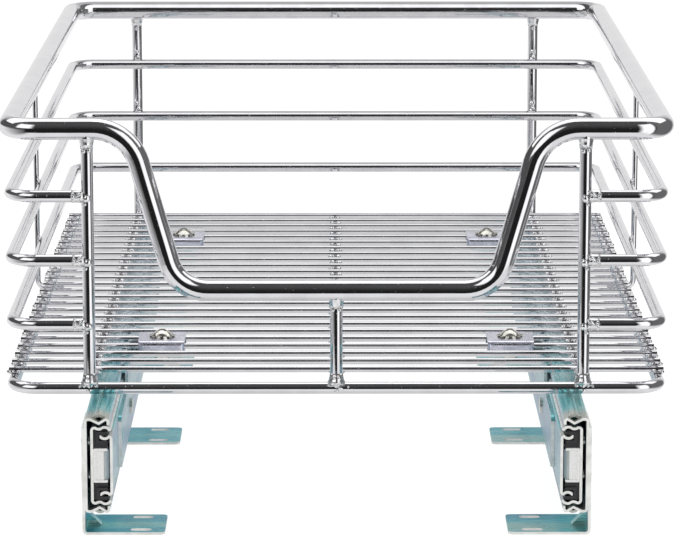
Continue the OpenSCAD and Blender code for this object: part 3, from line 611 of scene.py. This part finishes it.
def make_sleeve(foot, head, height, lump, seed):
    """A sleeve of weld round a wire, wider at the top than at the foot, with a slight waist."""
    bpy.ops.object.select_all(action="DESELECT")
    bpy.ops.mesh.primitive_cone_add(vertices=14, radius1=foot * MM, radius2=head * MM, depth=height * MM)
    sleeve = bpy.context.active_object
    bpy.ops.object.mode_set(mode="EDIT")
    bpy.ops.mesh.select_all(action="SELECT")
    bpy.ops.mesh.subdivide(number_cuts=2)
    roughen(lump, seed)
    for vertex in sleeve.data.vertices:
        rise = vertex.co.z / (height * MM) + 0.5
        pinch = 1 - SLEEVE_WAIST * math.sin(math.pi * min(max(rise, 0), 1))
        vertex.co.x *= pinch
        vertex.co.y *= pinch
    return sleeve


def put(master, place, size=(1, 1, 1), turn=(0, 0, 0)):
    """Copies a weld shape, with its place, size and turn in the copy's own mesh."""
    copy = master.copy()
    copy.data = master.data.copy()
    bpy.context.scene.collection.objects.link(copy)
    spin = Euler([math.radians(angle) for angle in turn]).to_matrix().to_4x4()
    stretch = Matrix.Diagonal((*size, 1))
    copy.data.transform(Matrix.Translation(Vector(place) * MM) @ spin @ stretch)
    return copy


def weld_group(name, parts, material):
    """Joins weld shapes into one piece that rides on the basket."""
    bpy.ops.object.select_all(action="DESELECT")
    for part in parts:
        part.select_set(True)
    bpy.context.view_layer.objects.active = parts[0]
    bpy.ops.object.join()
    piece = bpy.context.active_object
    piece.name = piece.data.name = name
    piece.data.materials.clear()
    piece.data.materials.append(material)
    bpy.ops.object.shade_smooth()
    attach(piece, "basket")


BEADS = [make_bead(12, 8, 0.11, seed) for seed in (3, 8, 14)]
TACKS = [make_bead(8, 5, 0.12, seed) for seed in (21, 27, 33)]
FLARE = make_sleeve(2.95, 4.4, 6.0, 0.01, 5)
FOOT_COLLAR = make_sleeve(3.0, 4.4, 5.0, 0.12, 9)
STUB_COLLAR = make_sleeve(2.95, 3.3, 5.4, 0.07, 12)

# Lumps on the front of a post: the way outwards, forwards and up from the post's middle at a rail or at
# the bottom frame, the size, and the turn in degrees about the front to back axis. On the centre post
# outwards is to the right.
RAIL_END_LUMPS = (
    ((6.4, 1.8, 0.3), (1.2, 1.7, 1.7), 0),
    ((3.4, 2.5, 1.4), (2.6, 1.1, 1.0), 35),
    ((0.1, 2.2, -0.6), (1.9, 1.5, 2.1), -25),
)
RAIL_END_TACK = ((1.1, 2.4, -3.4), (1.3, 0.9, 0.7), 20)
FOOT_LUMPS = (
    ((4.3, 2.2, 1.3), (0.9, 1.0, 0.7), 30),
    ((2.3, 2.2, 1.7), (1.1, 1.0, 1.1), 0),
    ((1.2, 2.2, 3.7), (0.9, 1.0, 1.1), -30),
    ((-0.4, 2.2, 2.9), (1.3, 1.0, 1.2), 30),
    ((0.2, 2.2, -0.7), (1.8, 1.0, 0.9), 0),
    ((-2.9, 2.2, 1.5), (1.1, 1.0, 0.8), -30),
)
CENTRE_LUMPS = (
    ((-1.7, 2.2, 36.5), (1.1, 1.0, 0.8), -25),
    ((1.6, 2.2, 36.8), (1.1, 1.0, 0.8), 0),
    ((-1.2, 2.2, 4.6), (1.0, 1.0, 1.6), 25),
    ((1.2, 2.2, 4.9), (1.0, 1.0, 1.5), -25),
    ((-2.4, 2.2, 1.6), (2.0, 1.0, 0.6), 0),
    ((1.8, 2.2, 0.4), (2.0, 1.0, 0.7), 25),
    ((0.1, 2.2, -0.9), (1.3, 1.0, 0.8), -25),
    ((5.4, 2.2, 0.9), (0.6, 1.0, 0.6), 0),
)


def put_lump(master, post_x, side, z, lump):
    """Puts a lump on the front of the post at post_x, from the height z."""
    (outwards, forwards, up), size, turn = lump
    return put(master, (post_x + side * outwards, FRONT_Y - forwards, z + up), size, (0, turn * side, 0))


def weld_flares():
    """Smooth flares between the posts' heads and the rim."""
    flares = []
    for x in (-POST_X, POST_X):
        flares.append(put(FLARE, (x, FRONT_Y, RIM_Z - 5.5), (1.0, 1.0, 1.17)))
        flares.append(put(FLARE, (x, REAR_Y + 5.1, RIM_Z - 6.7), (1.0, 0.8, 0.85)))
    flares.append(put(FLARE, (0, FRONT_Y, DIP_Z - 5.1), (1.05, 1.0, 1.03)))
    weld_group("weld_flares", flares, FLARE_CHROME)


def weld_collars():
    """Rough collars round the front posts' feet and round the rails' front ends."""
    collars = []
    foot_z = FRAME_Z + 4.6
    for side in (-1, 1):
        collars.append(put(FOOT_COLLAR, (side * POST_X, FRONT_Y, foot_z), turn=(180, 0, 0)))
        for z in RAIL_Z:
            collars.append(put(STUB_COLLAR, (side * (POST_X + 4.4), FRONT_Y, z), turn=(0, -90 * side, 0)))
    collars.append(put(FOOT_COLLAR, (0, FRONT_Y, foot_z), turn=(180, 0, 0)))
    weld_group("weld_collars", collars, COLLAR_CHROME)


def weld_beads_front():
    """Lumps where the front posts meet the rim, the rails and the bottom frame."""
    beads = []
    for side in (-1, 1):
        x = side * POST_X
        for n, offset in enumerate((-1.35, 1.15)):
            place = (x + offset, FRONT_Y - 2.3, RIM_Z - 9.9 + 0.5 * n)
            beads.append(put(BEADS[n], place, (1.25, 1.0, 1.1), (0, 20 * side, 0)))
        for n, z in enumerate(RAIL_Z):
            for m, lump in enumerate(RAIL_END_LUMPS):
                beads.append(put_lump(BEADS[(n + m) % 3], x, side, z, lump))
            beads.append(put_lump(TACKS[n], x, side, z, RAIL_END_TACK))
        for n, lump in enumerate(FOOT_LUMPS):
            beads.append(put_lump(BEADS[n % 3], x, side, FRAME_Z, lump))
    for n, lump in enumerate(CENTRE_LUMPS):
        beads.append(put_lump(BEADS[n % 3], 0, 1, FRAME_Z, lump))
    weld_group("weld_beads_front", beads, FLARE_CHROME)


def weld_beads_rear():
    """Beads in both corners of each crossing on the rear posts, and lumps above the rails."""
    beads = []
    for side in (-1, 1):
        x = side * POST_X
        for n, z in enumerate((FRAME_Z, *RAIL_Z, RIM_Z - 3.0)):
            for hand in (-1, 1):
                place = (x + 2.1 * hand, REAR_Y + 2.6, z)
                beads.append(put(BEADS[(n + hand) % 3], place, (1.4, 1.2, 1.9), (0, 12 * hand, 0)))
        for n, z in enumerate(RAIL_Z):
            beads.append(put(TACKS[n], (x + 0.6, REAR_Y + 2.7, z + 3.8), (1.6, 1.0, 1.2), (0, 25 * side, 0)))
            beads.append(put(TACKS[(n + 1) % 3], (x - 0.4, REAR_Y + 2.9, z + 6.8), (1.4, 0.8, 1.2)))
        beads.append(put(TACKS[2], (x + 0.3, REAR_Y + 2.9, RIM_Z - 10.8), (1.5, 0.9, 1.2)))
    weld_group("weld_beads_rear", beads, BEAD_CHROME)


def weld_beads_side():
    """Tacks that hold the side posts to the rails, the rim and the bottom frame."""
    beads = []
    for side in (-1, 1):
        x = side * (SIDE_POST_X - 1.3)
        for n, z in enumerate((*RAIL_Z, RIM_Z - 3.6)):
            for hand in (-1, 1):
                place = (x, SIDE_POST_Y + 1.3 * hand, z)
                beads.append(put(TACKS[(n + hand) % 3], place, (1.1, 1.0, 1.6), (12 * hand, 0, 0)))
        foot = (side * RAIL_X, SIDE_POST_Y, FRAME_Z + WIRE_R + 0.1)
        beads.append(put(TACKS[0], foot, (2.2, 2.3, 0.8)))
    weld_group("weld_beads_side", beads, BEAD_CHROME)


def weld_tacks_floor():
    """Two tacks at each crossing of a floor wire with the bottom frame and the long wires."""
    tacks = []
    for n in range(FLOOR_COUNT):
        y = FLOOR_FIRST_Y + FLOOR_PITCH * n
        for m, x in enumerate((-RAIL_X, -POST_X, 0, POST_X, RAIL_X)):
            for hand in (-1, 1):
                shift = (n * 5 + m * 7 + hand) % 9
                place = (x + hand * (1.7 + 0.05 * shift), y - 0.5 + 0.1 * (shift % 4), FLOOR_TACK_Z)
                turn = (8 * hand, 14 * hand, 9 * shift)
                tacks.append(put(TACKS[shift % 3], place, (1.5, 2.2, 1.15), turn))
    weld_group("weld_tacks_floor", tacks, BEAD_CHROME)


weld_flares()
weld_collars()
weld_beads_front()
weld_beads_rear()
weld_beads_side()
weld_tacks_floor()
for master in (*BEADS, *TACKS, FLARE, FOOT_COLLAR, STUB_COLLAR):
    bpy.data.objects.remove(master)
